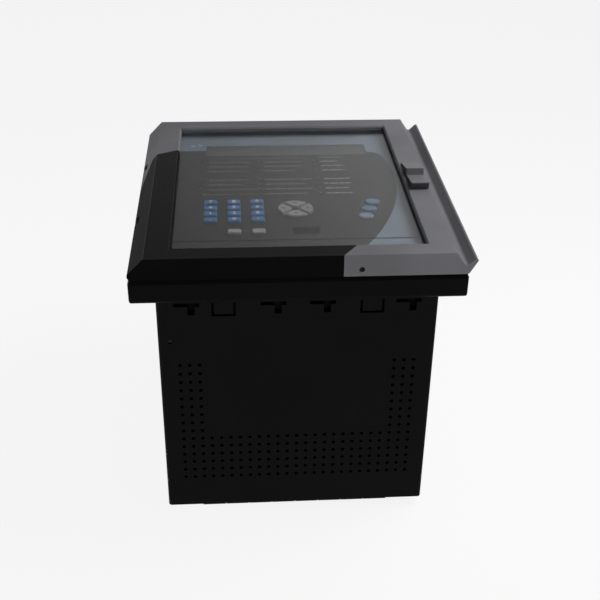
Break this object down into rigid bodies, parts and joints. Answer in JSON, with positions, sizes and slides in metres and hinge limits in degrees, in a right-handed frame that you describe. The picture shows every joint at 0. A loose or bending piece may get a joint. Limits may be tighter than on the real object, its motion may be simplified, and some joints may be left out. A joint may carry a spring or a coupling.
{
  "type": "protection relay",
  "caption": "Draw-out protection relay lying on its back: vented steel case, panel collar and a hinged windowed door over a keypad, display and locking handle.",
  "frame": {"origin": "middle of the plane on which the rear terminal strips rest, on the axis of the case", "axes": "+Z out of the front, +Y towards the top edge of the front as mounted, +X towards its right edge seen from the front"},
  "size_m": [0.2229, 0.2384, 0.2266],
  "materials": {
    "case_paint": "fine satin black paint on folded steel",
    "mould_black": "fine-grained black moulding",
    "mould_grey": "fine-grained grey moulding",
    "window": "clear gloss",
    "face_print": "printed film, black and blue grey",
    "dark_lens": "smoked gloss",
    "lamp_red": "clear red",
    "key_blue": "soft satin",
    "key_pale": "soft satin",
    "key_violet": "soft satin",
    "zinc_steel": "zinc plated",
    "brass": "plain",
    "board_green": "solder mask",
    "core_steel": "varnished core",
    "seal_rubber": "matt"
  },
  "bodies": {
    "root": {"case_shell": "case_paint", "collar": "mould_black", "collar_rivets": "mould_black", "door_gasket": "seal_rubber", "rear_panel": "case_paint", "terminal_blocks": "mould_black", "terminal_screws": "zinc_steel", "ground_stud": "brass", "ground_nut": "zinc_steel", "guide_rails": "mould_black", "case_sockets": "mould_black", "chassis": "zinc_steel", "front_frame": "mould_black", "faceplate": "face_print", "display_lens": "dark_lens", "display_module": "board_green", "indicator_lenses": "lamp_red", "front_board": "board_green", "program_port": "mould_black", "locking_handle": "mould_black", "handle_pins": "zinc_steel", "handle_catch": "zinc_steel", "processor_board": "board_green", "input_board": "board_green", "power_board": "board_green", "input_transformers": "core_steel", "power_transformer": "core_steel", "output_relays": "mould_black", "filter_capacitors": "mould_black", "unit_plugs": "mould_grey", "ribbon_cable": "mould_grey"},
    "door": {"door_frame": "mould_grey", "window_pane": "window", "hinge_pins": "zinc_steel"},
    "latch": {"latch_slider": "mould_grey", "latch_bolt": "mould_black"},
    "number_key_1": {"number_key_1": "key_blue"},
    "number_key_2": {"number_key_2": "key_blue"},
    "number_key_3": {"number_key_3": "key_blue"},
    "number_key_4": {"number_key_4": "key_blue"},
    "number_key_5": {"number_key_5": "key_blue"},
    "number_key_6": {"number_key_6": "key_blue"},
    "number_key_7": {"number_key_7": "key_blue"},
    "number_key_8": {"number_key_8": "key_blue"},
    "number_key_9": {"number_key_9": "key_blue"},
    "number_key_10": {"number_key_10": "key_blue"},
    "number_key_11": {"number_key_11": "key_blue"},
    "number_key_12": {"number_key_12": "key_blue"},
    "menu_key_left": {"menu_key_left": "key_pale"},
    "menu_key_right": {"menu_key_right": "key_pale"},
    "arrow_key_right": {"arrow_key_right": "key_pale"},
    "arrow_key_up": {"arrow_key_up": "key_pale"},
    "arrow_key_left": {"arrow_key_left": "key_pale"},
    "arrow_key_down": {"arrow_key_down": "key_pale"},
    "oval_key_upper": {"oval_key_upper": "key_blue"},
    "oval_key_middle": {"oval_key_middle": "key_blue"},
    "oval_key_lower": {"oval_key_lower": "key_violet"}
  },
  "joints": [
    {"name": "door_hinge", "type": "hinge", "parent": "root", "child": "door", "pos_m": [-0.106, 0, 0.208], "axis": [0, -1, 0], "range_deg": [0, 120]},
    {"name": "latch_slide", "type": "slide", "parent": "door", "child": "latch", "axis": [0, 1, 0], "range_m": [0, 0.005], "stiffness_N_per_m": 300},
    {"name": "number_key_1_press", "type": "slide", "parent": "root", "child": "number_key_1", "axis": [0, 0, -1], "range_m": [0, 0.0012], "stiffness_N_per_m": 800},
    {"name": "number_key_2_press", "type": "slide", "parent": "root", "child": "number_key_2", "axis": [0, 0, -1], "range_m": [0, 0.0012], "stiffness_N_per_m": 800},
    {"name": "number_key_3_press", "type": "slide", "parent": "root", "child": "number_key_3", "axis": [0, 0, -1], "range_m": [0, 0.0012], "stiffness_N_per_m": 800},
    {"name": "number_key_4_press", "type": "slide", "parent": "root", "child": "number_key_4", "axis": [0, 0, -1], "range_m": [0, 0.0012], "stiffness_N_per_m": 800},
    {"name": "number_key_5_press", "type": "slide", "parent": "root", "child": "number_key_5", "axis": [0, 0, -1], "range_m": [0, 0.0012], "stiffness_N_per_m": 800},
    {"name": "number_key_6_press", "type": "slide", "parent": "root", "child": "number_key_6", "axis": [0, 0, -1], "range_m": [0, 0.0012], "stiffness_N_per_m": 800},
    {"name": "number_key_7_press", "type": "slide", "parent": "root", "child": "number_key_7", "axis": [0, 0, -1], "range_m": [0, 0.0012], "stiffness_N_per_m": 800},
    {"name": "number_key_8_press", "type": "slide", "parent": "root", "child": "number_key_8", "axis": [0, 0, -1], "range_m": [0, 0.0012], "stiffness_N_per_m": 800},
    {"name": "number_key_9_press", "type": "slide", "parent": "root", "child": "number_key_9", "axis": [0, 0, -1], "range_m": [0, 0.0012], "stiffness_N_per_m": 800},
    {"name": "number_key_10_press", "type": "slide", "parent": "root", "child": "number_key_10", "axis": [0, 0, -1], "range_m": [0, 0.0012], "stiffness_N_per_m": 800},
    {"name": "number_key_11_press", "type": "slide", "parent": "root", "child": "number_key_11", "axis": [0, 0, -1], "range_m": [0, 0.0012], "stiffness_N_per_m": 800},
    {"name": "number_key_12_press", "type": "slide", "parent": "root", "child": "number_key_12", "axis": [0, 0, -1], "range_m": [0, 0.0012], "stiffness_N_per_m": 800},
    {"name": "menu_key_left_press", "type": "slide", "parent": "root", "child": "menu_key_left", "axis": [0, 0, -1], "range_m": [0, 0.0012], "stiffness_N_per_m": 800},
    {"name": "menu_key_right_press", "type": "slide", "parent": "root", "child": "menu_key_right", "axis": [0, 0, -1], "range_m": [0, 0.0012], "stiffness_N_per_m": 800},
    {"name": "arrow_key_right_press", "type": "slide", "parent": "root", "child": "arrow_key_right", "axis": [0, 0, -1], "range_m": [0, 0.0012], "stiffness_N_per_m": 800},
    {"name": "arrow_key_up_press", "type": "slide", "parent": "root", "child": "arrow_key_up", "axis": [0, 0, -1], "range_m": [0, 0.0012], "stiffness_N_per_m": 800},
    {"name": "arrow_key_left_press", "type": "slide", "parent": "root", "child": "arrow_key_left", "axis": [0, 0, -1], "range_m": [0, 0.0012], "stiffness_N_per_m": 800},
    {"name": "arrow_key_down_press", "type": "slide", "parent": "root", "child": "arrow_key_down", "axis": [0, 0, -1], "range_m": [0, 0.0012], "stiffness_N_per_m": 800},
    {"name": "oval_key_upper_press", "type": "slide", "parent": "root", "child": "oval_key_upper", "axis": [0, 0, -1], "range_m": [0, 0.0012], "stiffness_N_per_m": 800},
    {"name": "oval_key_middle_press", "type": "slide", "parent": "root", "child": "oval_key_middle", "axis": [0, 0, -1], "range_m": [0, 0.0012], "stiffness_N_per_m": 800},
    {"name": "oval_key_lower_press", "type": "slide", "parent": "root", "child": "oval_key_lower", "axis": [0, 0, -1], "range_m": [0, 0.0012], "stiffness_N_per_m": 800}
  ]
}
